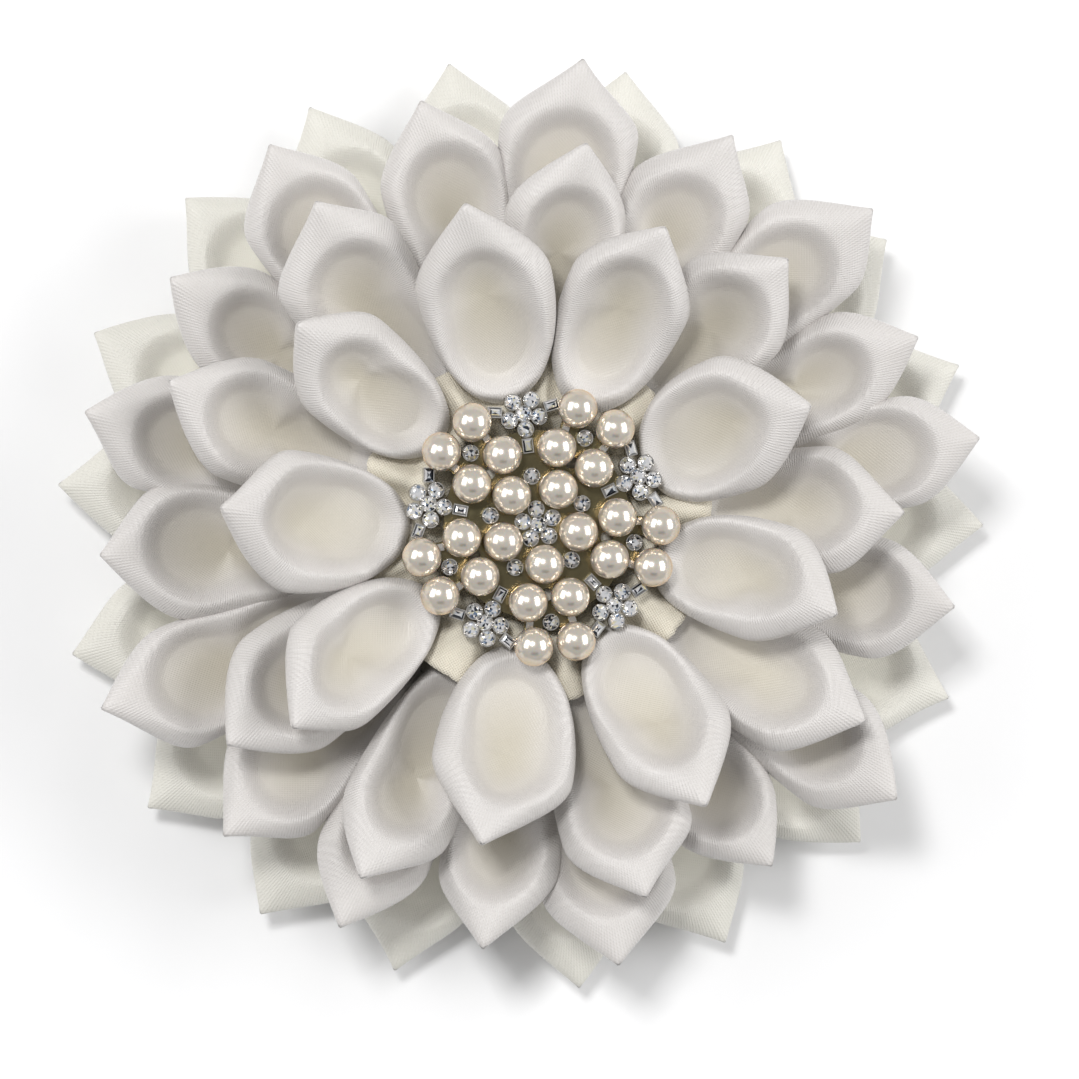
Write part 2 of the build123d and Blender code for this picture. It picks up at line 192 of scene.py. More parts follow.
def pearl_lacquer(name):
    """Glass pearl: silvery lacquer over a warm body, under a clear hard coat."""
    material, tree, shader = new_material(name)
    place = add_node(tree, "ShaderNodeTexCoord").outputs["Object"]
    cloud = noise(tree, place, 420.0, 3.0)
    colour = mix_colour(tree, cloud, (0.88, 0.82, 0.73, 1), (0.76, 0.70, 0.61, 1))
    tree.links.new(colour, shader.inputs["Base Color"])
    add_bump(tree, shader, noise(tree, place, 1500.0, 3.0), 0.12, 0.03 * MM)
    shader.inputs["Metallic"].default_value = 0.7
    shader.inputs["Roughness"].default_value = 0.2
    shader.inputs["Specular Tint"].default_value = (1.0, 0.70, 0.38, 1)
    shader.inputs["Coat Weight"].default_value = 0.6
    shader.inputs["Coat Roughness"].default_value = 0.06
    shader.inputs["Subsurface Weight"].default_value = 0.3
    shader.inputs["Subsurface Radius"].default_value = (1.0, 0.6, 0.3)
    shader.inputs["Subsurface Scale"].default_value = 0.0008
    return material


def plated_metal(name, bright, worn, roughness, grain_scale):
    """Plated metal with faint grain and duller patches."""
    material, tree, shader = new_material(name)
    place = add_node(tree, "ShaderNodeTexCoord").outputs["Object"]
    patches = noise(tree, place, 500.0, 4.0)
    grain = noise(tree, place, grain_scale, 2.0)
    tree.links.new(mix_colour(tree, patches, bright, worn), shader.inputs["Base Color"])
    tree.links.new(maths(tree, "MULTIPLY_ADD", patches, 0.18, roughness), shader.inputs["Roughness"])
    add_bump(tree, shader, grain, 0.12, 0.04 * MM)
    shader.inputs["Metallic"].default_value = 1.0
    return material


def cast_plate(name, plate_low, plate_high):
    """The jewel's casting: olive gold on its plate, and silvery on the settings above that."""
    material, tree, shader = new_material(name)
    place = add_node(tree, "ShaderNodeTexCoord").outputs["Object"]
    height = add_node(tree, "ShaderNodeSeparateXYZ", {"Vector": place}).outputs["Z"]
    raised = add_node(
        tree, "ShaderNodeMapRange", {"Value": height, "From Min": plate_low, "From Max": plate_high}
    ).outputs["Result"]
    patches = noise(tree, place, 330.0, 4.0)
    gold = mix_colour(tree, patches, (0.26, 0.215, 0.12, 1), (0.10, 0.09, 0.05, 1))
    colour = mix_colour(tree, raised, gold, (0.66, 0.64, 0.61, 1))
    tree.links.new(colour, shader.inputs["Base Color"])
    tree.links.new(maths(tree, "MULTIPLY_ADD", patches, 0.25, 0.12), shader.inputs["Roughness"])
    add_bump(tree, shader, patches, 0.5, 0.2 * MM)
    shader.inputs["Metallic"].default_value = 1.0
    return material


def cut_crystal(name):
    """Foil-backed cut glass with painted sparkle: each facet's colour is a painted reflection, dark to
    white at random, not refracted light.
    """
    material, tree, shader = new_material(name)
    painted_glint = add_node(tree, "ShaderNodeAttribute", attribute_name="painted_glint").outputs["Fac"]
    shades = add_node(tree, "ShaderNodeValToRGB", {"Fac": painted_glint})
    ramp = shades.color_ramp
    ramp.interpolation = "CONSTANT"
    painted_glint_colours = [(0.0, (0.03, 0.04, 0.06, 1)), (0.12, (0.22, 0.30, 0.44, 1)), (0.20, (0.97, 0.97, 1.0, 1)),
             (0.66, (0.80, 0.84, 0.88, 1)), (0.80, (0.97, 0.93, 0.70, 1)), (0.88, (1.0, 1.0, 1.0, 1))]
    for element, (position, glint_colour) in zip(ramp.elements, painted_glint_colours):
        element.position = position
        element.color = glint_colour
    for position, glint_colour in painted_glint_colours[2:]:
        ramp.elements.new(position).color = glint_colour
    tree.links.new(shades.outputs["Color"], shader.inputs["Base Color"])
    shader.inputs["Metallic"].default_value = 0.7
    shader.inputs["Roughness"].default_value = 0.06
    shader.inputs["Coat Weight"].default_value = 1.0
    shader.inputs["Coat Roughness"].default_value = 0.02
    return material


# Each satin's cup colour is painted shade and bounced warm light, darker and warmer than its rim.
WHITE_SATIN = satin("white_satin", rim_colour=(0.655, 0.632, 0.622, 1),
                    cup_painted_shade=(0.54, 0.50, 0.405, 1), shade=(0.455, 0.42, 0.365, 1))
# The outer row's satin is cream and painted lighter than the white rows, standing in for the light that
# falls on the outer row.
CREAM_SATIN_PAINTED_LIGHT = satin("cream_satin_painted_light", rim_colour=(0.74, 0.725, 0.67, 1),
                    cup_painted_shade=(0.72, 0.70, 0.60, 1), shade=(0.60, 0.58, 0.50, 1))
IVORY_FELT = felt("ivory_felt", (0.83, 0.80, 0.72, 1), (0.58, 0.54, 0.46, 1))
BEIGE_MESH = mesh_cloth("beige_mesh", (0.90, 0.85, 0.73, 1), (0.76, 0.70, 0.57, 1))
PEARL = pearl_lacquer("pearl_lacquer")
CASTING = cast_plate("cast_plate", plate_low=27.05 * MM, plate_high=27.2 * MM)
NICKEL = plated_metal("nickel_plate", (0.72, 0.72, 0.73, 1), (0.50, 0.50, 0.51, 1), 0.25, 5000.0)
SPRING_STEEL = plated_metal("spring_wire", (0.60, 0.60, 0.62, 1), (0.38, 0.38, 0.40, 1), 0.30, 6000.0)
CRYSTAL = cut_crystal("cut_crystal")


# --------------------------------------------------------------- points and pieces

def polar(radius, degrees):
    """The x and y of a place at that distance and direction from the axis."""
    return (radius * math.cos(math.radians(degrees)), radius * math.sin(math.radians(degrees)))


def spun(points, angle):
    """Points in a plane, turned about its origin."""
    turn = np.array([[math.cos(angle), -math.sin(angle)], [math.sin(angle), math.cos(angle)]])
    return points @ turn.T


def add_mesh(name, points, faces, material, smooth=True):
    """An object from points in millimetres."""
    mesh = bpy.data.meshes.new(name)
    mesh.from_pydata([tuple(p) for p in np.asarray(points, float) * MM], [], faces)
    mesh.polygons.foreach_set("use_smooth", [smooth] * len(mesh.polygons))
    mesh.materials.append(material)
    piece = bpy.data.objects.new(name, mesh)
    bpy.context.scene.collection.objects.link(piece)
    return piece


def corner_points(mesh):
    """The index of each face corner's point."""
    corner = np.empty(len(mesh.loops), np.int32)
    mesh.loops.foreach_get("vertex_index", corner)
    return corner


def lay_weave(piece, flat_points):
    """A cloth's own coordinates in millimetres, one pair for each point."""
    flat_corners = np.asarray(flat_points, np.float32)[corner_points(piece.data)]
    piece.data.uv_layers.new(name="weave").data.foreach_set("uv", flat_corners.ravel())


def thicken(piece, thickness):
    """Cloth of that thickness in millimetres, under the drawn surface."""
    cloth = piece.modifiers.new("cloth", "SOLIDIFY")
    cloth.thickness = thickness * MM
    cloth.offset = -1.0


# ----------------------------------------------------------------------- petals

# Every petal as (its tip's direction and its cup's direction in degrees from +X, its
# tip's reach from the axis and its cup's half width in millimetres).
ROW_1 = [(24, 28, 36.5, 8.6), (68, 70, 40, 7.9), (104, 103, 41, 8.5), (141, 141, 39.5, 7.2),
         (177, 180, 40.5, 8.8), (219, 214, 40, 7.6), (259, 262, 40.5, 9.0), (300, 302, 40.5, 8.0),
         (343, 346, 38.5, 7.6)]
ROW_2 = [(2, 4, 46.5, 8.0), (47, 48, 46, 8.0), (83, 85, 48.5, 7.6), (125, 129, 49.5, 8.6),
         (159, 161, 50, 7.8), (215, 213, 48, 8.5), (243, 245, 50, 7.3), (286, 287, 49, 8.3),
         (329, 327, 48.5, 8.2)]
ROW_3 = [(11, 11, 58.5, 7.0), (26, 27, 55, 7.0), (43, 46, 59.5, 7.7), (63, 65, 56, 8.0),
         (84, 85, 60, 8.8), (105, 104, 56, 8.0), (125, 127, 59, 8.0), (146, 146, 56, 7.3),
         (166, 166, 59, 7.5), (184, 185, 55.5, 8.6), (203, 205, 60, 7.8), (225, 224, 56, 8.0),
         (244, 245, 57, 7.2), (263, 265, 54.5, 7.5), (281, 283, 57.5, 8.6), (305, 304, 53.5, 7.3),
         (323, 323, 58.5, 7.7), (349, 347, 55.5, 7.7)]
ROW_4 = [(0, 1, 61, 8.2), (20, 19, 61.5, 8.0), (38, 39, 61, 8.2), (56, 55, 61, 8.0),
         (77, 76, 61, 8.3), (99, 98, 61, 7.8), (117, 118, 61, 8.0), (136, 135, 61, 8.2),
         (156, 157, 61, 8.0), (175, 174, 60.5, 8.2), (196, 197, 61, 8.0), (217, 216, 61, 8.2),
         (236, 237, 61, 8.0), (254, 253, 60.5, 7.8), (277, 278, 61, 8.3), (296, 295, 61, 8.0),
         (317, 318, 61, 8.2), (338, 337, 61, 8.2)]

# For each row, in millimetres: radius and height of the root, the height of the tips,
# the depth of the cup, how far the tip's flat face reaches, and how much neighbours
# differ in height. Then, in square metres, the ribbon's area once trimmed, which is set
# near what the row's petals measure.
ROW_FORM = {
    1: dict(root=15.8, root_z=24.6, tip_z=36.4, cup=2.8, tip_face=3.4, stagger=0.3, cut=0.0009),
    2: dict(root=18.6, root_z=21.0, tip_z=30.4, cup=2.7, tip_face=3.4, stagger=0.5, cut=0.0010),
    3: dict(root=20.5, root_z=17.2, tip_z=22.4, cup=2.6, tip_face=3.4, stagger=0.9, cut=0.0011),
    4: dict(root=22.5, root_z=13.6, tip_z=5.2, cup=2.2, tip_face=4.0, stagger=0.4, cut=0.0011),
}
# Every petal's own form, in millimetres: the rim's width at the sides and how it varies, the
# cup's wall, the drop from crest to edge, the root's pinch and pleats, the back and its seam.
WIDEST_BEHIND_TIP = 10.5
SIDE_RIM = 1.9
RIM_VARIATION = 0.55
WALL_WIDTH = 3.3
EDGE_DROP = 1.9
TIP_DROP = 1.1
TIP_SPREAD = 5.2
ROOT_SPREAD = 8.5
ROOT_PINCH = 1.15
PLEAT_HEIGHT = 0.13
UNDER_ROLL = 0.45
UPPER_LAP = 0.1
UNDER_LAP = 0.45
LENGTH_RADIUS = 120.0
LOWEST_POINT = 0.3
RIBBON_THICKNESS = 0.2

# Shares and counts: the floor's share of the cup's rise, how crisp the lip is, the satin's
# painted shade behind the petal, pleats round the root, and rings of points.
FLOOR_RISE = 0.28
LIP_CRISPNESS = 0.35
BACK_PAINTED_SHADE = 0.3
PLEATS = 17
OUTLINE_STEPS = 26
CUP_RINGS = 13
FLOOR_RINGS = 5
RIM_RINGS = 7
BACK_RINGS = 8


def bezier(a, b, c, d, steps):
    """Points along a cubic curve, without its last."""
    t = np.linspace(0.0, 1.0, steps, endpoint=False)[:, None]
    a, b, c, d = (np.array(p, float) for p in (a, b, c, d))
    return a * (1 - t) ** 3 + 3 * b * t * (1 - t) ** 2 + 3 * c * t**2 * (1 - t) + d * t**3


def petal_outline(length, shift, half_width, rng):
    """The petal from above, from its root round its left side to its tip and back, and its cup."""
    widest_left = length - WIDEST_BEHIND_TIP + rng.uniform(-1.2, 1.2)
    widest_right = length - WIDEST_BEHIND_TIP + rng.uniform(-1.2, 1.2)
    cup_x = 0.55 * length
    lean = math.atan2(shift, length - cup_x)
    tip = (length, 0.0)
    left, right = shift + half_width, shift - half_width

    def side(widest, y, sign):
        spread = math.pi - lean - sign * math.radians(44 + rng.uniform(-5, 5))
        straight = rng.uniform(6.0, 8.0)
        off_tip = (length + straight * math.cos(spread), straight * math.sin(spread))
        root_part = bezier((0, 0), (-0.3, 4.6 * sign), (widest - 9.5, y), (widest, y), OUTLINE_STEPS)
        tip_part = bezier((widest, y), (widest + 3.2, y), off_tip, tip, OUTLINE_STEPS)
        return np.vstack([root_part, tip_part])

    there = side(widest_left, left, 1)
    back = side(widest_right, right, -1)
    return np.vstack([there, [tip], back[:0:-1]]), (cup_x, shift)


def rounded(turn, distance, spread):
    """A closed line's distances from its centre, smoothed over that many degrees."""
    apart = np.angle(np.exp(1j * (turn[:, None] - turn[None, :])))
    ahead = np.abs(np.angle(np.exp(1j * (np.roll(turn, -1) - np.roll(turn, 1)))))
    weight = np.exp(-((apart / math.radians(spread)) ** 2)) * ahead[None, :]
    return (weight * distance[None, :]).sum(axis=1) / weight.sum(axis=1)


def petal_ends(place, form, rng):
    """The root and the tip in space, and how far the cup's middle lies to the side of their line."""
    tip_angle, cup_angle, reach, _ = place
    lift = form["stagger"] * rng.choice((-1, 1)) * rng.uniform(0.6, 1.0)
    root = Vector((*polar(form["root"], cup_angle), form["root_z"] + 0.3 * lift))
    tip = Vector((*polar(reach, tip_angle), form["tip_z"] + lift))
    lean_by = reach * math.sin(math.radians(tip_angle - cup_angle))
    return root, tip, -0.45 * lean_by + rng.uniform(-0.3, 0.3)


def outline_facts(outline, centre):
    """What each outline point's spoke from the centre is like, and how near it is to tip and root."""
    spoke = outline - centre
    reach = np.linalg.norm(spoke, axis=1)
    unit = spoke / reach[:, None]
    from_tip = np.linalg.norm(outline - outline[len(outline) // 2], axis=1)
    from_root = np.linalg.norm(outline, axis=1)
    return SimpleNamespace(
        centre=centre, spoke=spoke, reach=reach, unit=unit, turn=np.arctan2(unit[:, 1], unit[:, 0]),
        near_tip=np.exp(-((from_tip / TIP_SPREAD) ** 2)),
        near_root=np.exp(-((from_root / ROOT_SPREAD) ** 2)),
    )


def cup_climb(step, foot):
    """A cup ring's share of the way out to the crest, and of the way up to it."""
    if step <= FLOOR_RINGS:
        return foot * step / FLOOR_RINGS, FLOOR_RISE * (step / FLOOR_RINGS) ** 2
    climb = (step - FLOOR_RINGS) / (CUP_RINGS - FLOOR_RINGS)
    eased = LIP_CRISPNESS * climb + (1 - LIP_CRISPNESS) * (0.5 - 0.5 * math.cos(math.pi * climb))
    return foot + (1.0 - foot) * climb, FLOOR_RISE + (1 - FLOOR_RISE) * eased


def petal_front(line, form, rng):
    """Rings from the cup's floor over the rim to its edge, how deep each lies, the cup, the drop."""
    waves = [(rng.uniform(0.0, 0.35), rng.uniform(0, 2 * math.pi)) for _ in range(3)]
    uneven = sum(a * np.cos((k + 1) * line.turn + p) for k, (a, p) in enumerate(waves))
    rim = SIDE_RIM + RIM_VARIATION * np.sin(line.turn + waves[0][1])
    rim = rim + (form["tip_face"] - SIDE_RIM) * line.near_tip
    rim = rim - ROOT_PINCH * line.near_root
    crest_line = np.minimum(rounded(line.turn, line.reach - rim, 24.0), line.reach - 0.55 * rim)
    crest = rounded(line.turn, crest_line, 6.0) / line.reach
    depth = form["cup"] * rng.uniform(0.92, 1.06)
    drop = EDGE_DROP + (TIP_DROP - EDGE_DROP) * line.near_tip
    foot_line = rounded(line.turn, line.reach * crest - WALL_WIDTH + 1.2 * line.near_root, 14.0)
    foot = foot_line / (line.reach * crest)

    rings, depths = [], []
    for step in range(1, CUP_RINGS + 1):
        out, rise = cup_climb(step, foot)
        xy = line.centre + line.spoke * (crest * out)[:, None]
        rings.append(np.column_stack([xy, -depth * (1 - rise) + uneven * out]))
        depths.append(np.full(len(crest), 1.0 - rise))
    pleat = PLEAT_HEIGHT * np.cos(line.turn * PLEATS + waves[1][1]) * line.near_root
    for angle in np.linspace(0.0, math.pi / 2, RIM_RINGS + 1)[1:]:
        out = math.sin(angle)
        xy = line.centre + line.spoke * (crest + (1 - crest) * out)[:, None]
        z = uneven - drop * (0.45 * out**1.3 + 0.55 * (1 - math.cos(angle)))
        rings.append(np.column_stack([xy, z + pleat]))
        depths.append(np.zeros(len(crest)))
    return np.array(rings), np.concatenate(depths), depth, drop


def petal_flaps(line, edge, length, cup_y, depth, drop):
    """The two back flaps, from the front's edge to a lapped seam: each one's edge points and rings."""
    half = len(edge) // 2
    along = np.clip(edge[:, 0] / length, 0.0, 1.0)
    belly = 1.0 + (depth + 1.2) * np.sin(np.pi * along**0.8) ** 0.45
    flaps = []
    for sign, lap, sink, rows in (
        (1, UPPER_LAP, 0.0, [*range(half + 1)]),
        (-1, UNDER_LAP, 0.25, [*range(half, len(edge)), 0]),
    ):
        here = edge[rows]
        middle = cup_y * np.sin(np.pi * along[rows])
        overlap = lap * np.clip(np.abs(here[:, 1] - middle) / 2.0, 0.0, 1.0)
        seam = np.column_stack([here[:, 0] * 0.97 + 0.4, middle - sign * overlap])
        rings = []
        for angle in np.linspace(0.0, math.pi / 2, BACK_RINGS + 1)[1:]:
            share = 1 - math.cos(angle)
            swell = UNDER_ROLL * math.sin(2 * angle) * (1.0 - 0.7 * line.near_tip[rows])
            xy = here[:, :2] + (seam - here[:, :2]) * share + line.unit[rows] * swell[:, None]
            z = here[:, 2] - (belly[rows] - drop[rows]) * math.sin(angle) - sink * share
            rings.append(np.column_stack([xy, z]))
        flaps.append((rows, np.array(rings)))
    return flaps


def petal_faces(count, front_rings, flaps):
    """Faces over the cup's middle point, the front's rings and each flap's rings, in that order."""
    faces = []
    for i in range(count):
        j = (i + 1) % count
        faces.append((0, 1 + i, 1 + j))
        for ring in range(front_rings - 1):
            a = 1 + ring * count
            faces.append((a + i, a + count + i, a + count + j, a + j))
    edge_start = 1 + (front_rings - 1) * count
    start = 1 + front_rings * count
    for rows, rings in flaps:
        width = len(rows)
        for i in range(width - 1):
            left, right = edge_start + rows[i], edge_start + rows[i + 1]
            for ring in range(len(rings)):
                a = start + ring * width + i
                faces.append((left, a, a + 1, right))
                left, right = a, a + 1
        start += len(rings) * width
    return faces


def ribbon_coordinates(line, bottom, front, flaps):
    """Where each point lies on the flat ribbon, and the front's distances over the cloth."""
    path = np.concatenate([[np.tile(bottom, (len(line.unit), 1))], front])
    walked = np.cumsum(np.linalg.norm(np.diff(path, axis=0), axis=2), axis=0)
    flat = [np.zeros((1, 2)), (line.unit[None] * walked[:, :, None]).reshape(-1, 2)]
    for rows, rings in flaps:
        steps = np.diff(np.concatenate([[front[-1][rows]], rings]), axis=0)
        further = walked[-1][rows] + np.cumsum(np.linalg.norm(steps, axis=2), axis=0)
        flat.append((line.unit[rows][None] * further[:, :, None]).reshape(-1, 2))
    return np.vstack(flat), walked


def rim_coordinates(front, walked, flaps):
    """Each point's distance round the rim's crest and out over the cloth, and the crest's length."""
    crest = front[CUP_RINGS]
    hem = np.linalg.norm(np.diff(np.vstack([crest, crest[:1]]), axis=0), axis=1)
    round_rim = np.concatenate([[0.0], np.cumsum(hem)])
    over = np.tile(round_rim[:-1], (len(front), 1))
    drawn = [np.zeros((1, 2)), np.stack([over, walked], axis=2).reshape(-1, 2)]
    for rows, rings in flaps:
        over = np.tile(round_rim[rows], (len(rings), 1))
        drawn.append(np.stack([over, np.ones(over.shape)], axis=2).reshape(-1, 2))
    return np.vstack(drawn), round_rim[-1]


def lay_rim(petal, drawn, rim_length):
    """Rim coordinates for every corner, kept unbroken in faces that cross the rim's start."""
    mesh = petal.data
    corners = drawn[corner_points(mesh)]
    starts = [face.loop_start for face in mesh.polygons] + [len(corners)]
    for start, end in zip(starts[:-1], starts[1:]):
        round_rim = corners[start:end, 0]
        if round_rim.max() - round_rim.min() > rim_length / 2:
            round_rim += np.where(round_rim < rim_length / 2, rim_length, 0.0)
    mesh.uv_layers.new(name="rim").data.foreach_set("uv", corners.astype(np.float32).ravel())


def set_in_space(points, root, tip, rng):
    """Arch and twist a petal that is drawn flat, and lay it from its root to its tip."""
    length = (tip - root).length
    x, y, z = points.T
    z = z + (x - length / 2) ** 2 / (2 * LENGTH_RADIUS)
    twist = math.radians(rng.uniform(-5, 5)) * x / length
    y, z = y * np.cos(twist) - z * np.sin(twist), y * np.sin(twist) + z * np.cos(twist)
    roll = math.radians(rng.uniform(-5, 5))
    out = (tip - root).normalized()
    level = Vector((0, 0, 1)).cross(out).normalized()
    across = level * math.cos(roll) + out.cross(level) * math.sin(roll)
    world = np.column_stack([x, y, z]) @ np.array([out, across, out.cross(across)]) + np.array(root)
    world[:, 2] = np.maximum(world[:, 2], LOWEST_POINT)
    return world


def build_petal(name, place, form, material, rng, node):
    """One folded ribbon petal: a cup with rolled rims in front and two flaps behind."""
    root, tip, shift = petal_ends(place, form, rng)
    length = (tip - root).length
    outline, (cup_x, cup_y) = petal_outline(length, shift, place[3], rng)
    line = outline_facts(outline, np.array([cup_x - 1.0, cup_y]))
    front, depths, depth, drop = petal_front(line, form, rng)
    flaps = petal_flaps(line, front[-1], length, cup_y, depth, drop)
    bottom = [*line.centre, front[0][:, 2].mean() - 0.05]
    points = np.vstack([[bottom], front.reshape(-1, 3), *(rings.reshape(-1, 3) for _, rings in flaps)])
    flat, walked = ribbon_coordinates(line, bottom, front, flaps)
    drawn, rim_length = rim_coordinates(front, walked, flaps)
    bias = math.radians(45 * rng.choice((-1, 1)) + rng.uniform(-12, 12))
    world = set_in_space(points, root, tip, rng)

    petal = add_mesh(name, world, petal_faces(len(outline), len(front), flaps), material)
    lay_weave(petal, spun(flat, bias))
    lay_rim(petal, drawn, rim_length)
    # The depth attribute carries painted shade, and rib strength, into the satin: cup points by how deep
    # they lie, the back a little.
    shade = np.full(len(points), BACK_PAINTED_SHADE, np.float32)
    shade[0] = 1.0
    shade[1:1 + len(depths)] = depths
    petal.data.attributes.new("depth", "FLOAT", "POINT").data.foreach_set("value", shade)
    thicken(petal, RIBBON_THICKNESS)
    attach(petal, "flower")
    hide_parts(node)
    return petal


def build_row(number, places, node_of, material):
    """A row of petals, each in place of the node that node_of gives for its index."""
    rng = random.Random(100 + number)
    for index, place in enumerate(places):
        name = f"ribbon_petal_{number}_{index + 1:02d}"
        petal = build_petal(name, place, ROW_FORM[number], material, rng, node_of(index))


build_row(1, ROW_1, lambda i: f"petal_row1_{i + 1:02d}", WHITE_SATIN)
build_row(2, ROW_2, lambda i: f"petal_row2_{i + 1:02d}", WHITE_SATIN)
build_row(3, ROW_3, lambda i: f"petal_row3_{i + 1:02d}", WHITE_SATIN)
build_row(4, ROW_4, lambda i: f"petal_row4_pair_{i // 2 + 1:02d}", CREAM_SATIN_PAINTED_LIGHT)


# ------------------------------------------------------------ felt and mesh cloth

def cloth_disc(name, node, radius, height, thickness, ragged, material, seed):
    """A disc cut by hand from cloth, its upper face at height(radius, angle)."""
    rng = random.Random(seed)
    around, rings = 180, 34
    waves = [(rng.uniform(0.3, 1.0) / k, k, rng.uniform(0, 2 * math.pi)) for k in (2, 3, 5, 8, 13)]
    points = [(0.0, 0.0, height(0.0, 0.0))]
    for ring in range(1, rings + 1):
        for i in range(around):
            angle = 2 * math.pi * i / around
            cut = ragged * sum(a * math.cos(k * angle + p) for a, k, p in waves)
            cut += ragged * 0.25 * rng.uniform(-1, 1) * (ring == rings)
            r = (radius + cut) * ring / rings
            points.append((r * math.cos(angle), r * math.sin(angle), height(r, angle)))
    faces = []
    for i in range(around):
        j = (i + 1) % around
        faces.append((0, 1 + i, 1 + j))
        for ring in range(rings - 1):
            a = 1 + ring * around
            faces.append((a + i, a + around + i, a + around + j, a + j))
    piece = add_mesh(name, points, faces, material)
    turned = math.radians(rng.uniform(10, 80))
    lay_weave(piece, spun(np.array(points)[:, :2], turned))
    thicken(piece, thickness)
    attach(piece, "flower")
    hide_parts(node)
    return piece


def wavy(top, size, seed):
    """An almost flat height with slow waves."""
    rng = random.Random(seed)
    turns = [(k, rng.uniform(0, 2 * math.pi)) for k in (3, 5, 7)]

    def height(r, angle):
        swell = sum(math.cos(k * angle + p) for k, p in turns) / 3
        return top + size * swell * (r / 20.0) ** 2

    return height


def mesh_height(r, angle):
    """The mesh rises from under the jewel, dips under each petal's root and lifts between petals."""
    nearest = min(abs((math.degrees(angle) - cup + 180) % 360 - 180) for _, cup, _, _ in ROW_1)
    gap = min(max((nearest - 11.0) / 8.0, 0.0), 1.0)
    gap = gap * gap * (3 - 2 * gap)
    climb = min(max((r - 11.8) / 2.2, 0.0), 1.0)
    past = min(max((r - 15.0) / 1.6, 0.0), 1.0)
    crinkle = 0.14 * math.sin(37 * angle + 0.9 * r) + 0.10 * math.sin(61 * angle - 1.7 * r)
    return 22.6 + climb * (2.8 + crinkle) * (1.0 - past * (1.0 - 0.75 * gap)) - 0.5 * past * (1 - gap)


mesh_cloth_disc = cloth_disc("mesh_fabric_disc", "mesh_disc", 22.6, mesh_height, 0.15, 0.8, BEIGE_MESH, 31)
for name, node, radius, top, thickness, seed, under in (
    ("row_2_felt", "row2_felt_disc", 20.5, 18.6, 0.6, 32, ["petal_row3_01", "petal_row3_09"]),
    ("row_3_felt", "row3_felt_disc", 23.5, 14.6, 0.6, 33, ["petal_row4_pair_01", "petal_row4_pair_05"]),
    ("back_felt_round", "back_felt", 26.0, 10.6, 1.0, 34, ["clip_base"]),
):
    disc = cloth_disc(name, node, radius, wavy(top, 0.12, seed), thickness, 0.22, IVORY_FELT, seed)


def build_jewel_pad():
    """A thick felt pad with rounded, slightly uneven edges."""
    rng = random.Random(41)
    low, top, radius, edge = 22.6, 26.0, 11.5, 0.8
    profile = [(0.0, low), (radius - edge, low), (radius - 0.2, low + 0.25), (radius, low + edge)]
    profile += [(radius + 0.1, (low + top) / 2), (radius, top - edge), (radius - 0.25, top - 0.25)]
    profile += [(radius - edge, top), (radius / 2, top), (0.0, top)]
    around = 120
    waves = [(rng.uniform(0.05, 0.12), k, rng.uniform(0, 6.28)) for k in (3, 7, 11)]
    points, faces = [(0.0, 0.0, low)], []
    inner = profile[1:-1]
    for r, z in inner:
        for i in range(around):
            angle = 2 * math.pi * i / around
            here = r + (r / radius) * sum(a * math.cos(k * angle + p) for a, k, p in waves)
            points.append((here * math.cos(angle), here * math.sin(angle), z))
    points.append((0.0, 0.0, top))
    for i in range(around):
        j = (i + 1) % around
        faces.append((0, 1 + j, 1 + i))
        for ring in range(len(inner) - 1):
            a = 1 + ring * around
            faces.append((a + i, a + j, a + around + j, a + around + i))
        a = 1 + (len(inner) - 1) * around
        faces.append((a + i, a + j, len(points) - 1))
    pad = add_mesh("jewel_felt_pad", points, faces, IVORY_FELT)
    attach(pad, "flower")
    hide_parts("jewel_pad")


def build_clip_patch():
    """A felt strip that passes under the upper prong and is glued down on both sides of it."""
    rng = random.Random(43)
    long_half, start, end = 9.5, -15.0, -4.0
    rows, columns = 44, 24
    points, flat = [], []
    for i in range(rows + 1):
        y = -long_half + 2 * long_half * i / rows
        off = min(max((abs(y) - 4.05) / 0.9, 0.0), 1.0)
        lift = off * off * (3 - 2 * off)
        for j in range(columns + 1):
            x = start + (end - start) * j / columns
            edge = 0.12 * rng.uniform(-1, 1) if j in (0, columns) else 0.0
            stray = 0.12 * rng.uniform(-1, 1) if i in (0, rows) else 0.0
            sag = 0.05 * math.sin(0.9 * x + 0.6 * y)
            points.append((x + edge, y + stray, 8.93 + 0.6 * lift + sag * lift))
            flat.append((x, y))
    faces = []
    for i in range(rows):
        for j in range(columns):
            a = i * (columns + 1) + j
            faces.append((a, a + 1, a + columns + 2, a + columns + 1))
    patch = add_mesh("clip_felt_patch", points, faces, IVORY_FELT)
    lay_weave(patch, flat)
    thicken(patch, 0.72)
    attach(patch, "flower")
    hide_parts("clip_patch")


build_jewel_pad()
build_clip_patch()


# ------------------------------------------------------------------------ jewel

SECTOR_AXES = [61.5 + 72.0 * k for k in range(5)]
STAR_AXES = [axis + 36.0 for axis in SECTOR_AXES]
STAR_CENTRE = 14.2
STAR_RING = 2.0
STONE_RADIUS = 0.92
SEAT_Z = 27.3
CUP_TOP_Z = 27.8


def stone_places():
    """Every round stone's place: the singles, then the middle star and the outer ones."""
    places = [polar(r, axis + a) for axis in SECTOR_AXES for r, a in ((12.5, 0), (6.2, 36))]
    places.append((0.0, 0.0))
    places += [polar(STAR_RING, axis) for axis in STAR_AXES]
    for axis in STAR_AXES:
        x, y = polar(STAR_CENTRE, axis)
        places.append((x, y))
        for k in range(5):
            dx, dy = polar(STAR_RING, axis + 180 + 72 * k)
            places.append((x + dx, y + dy))
    return places


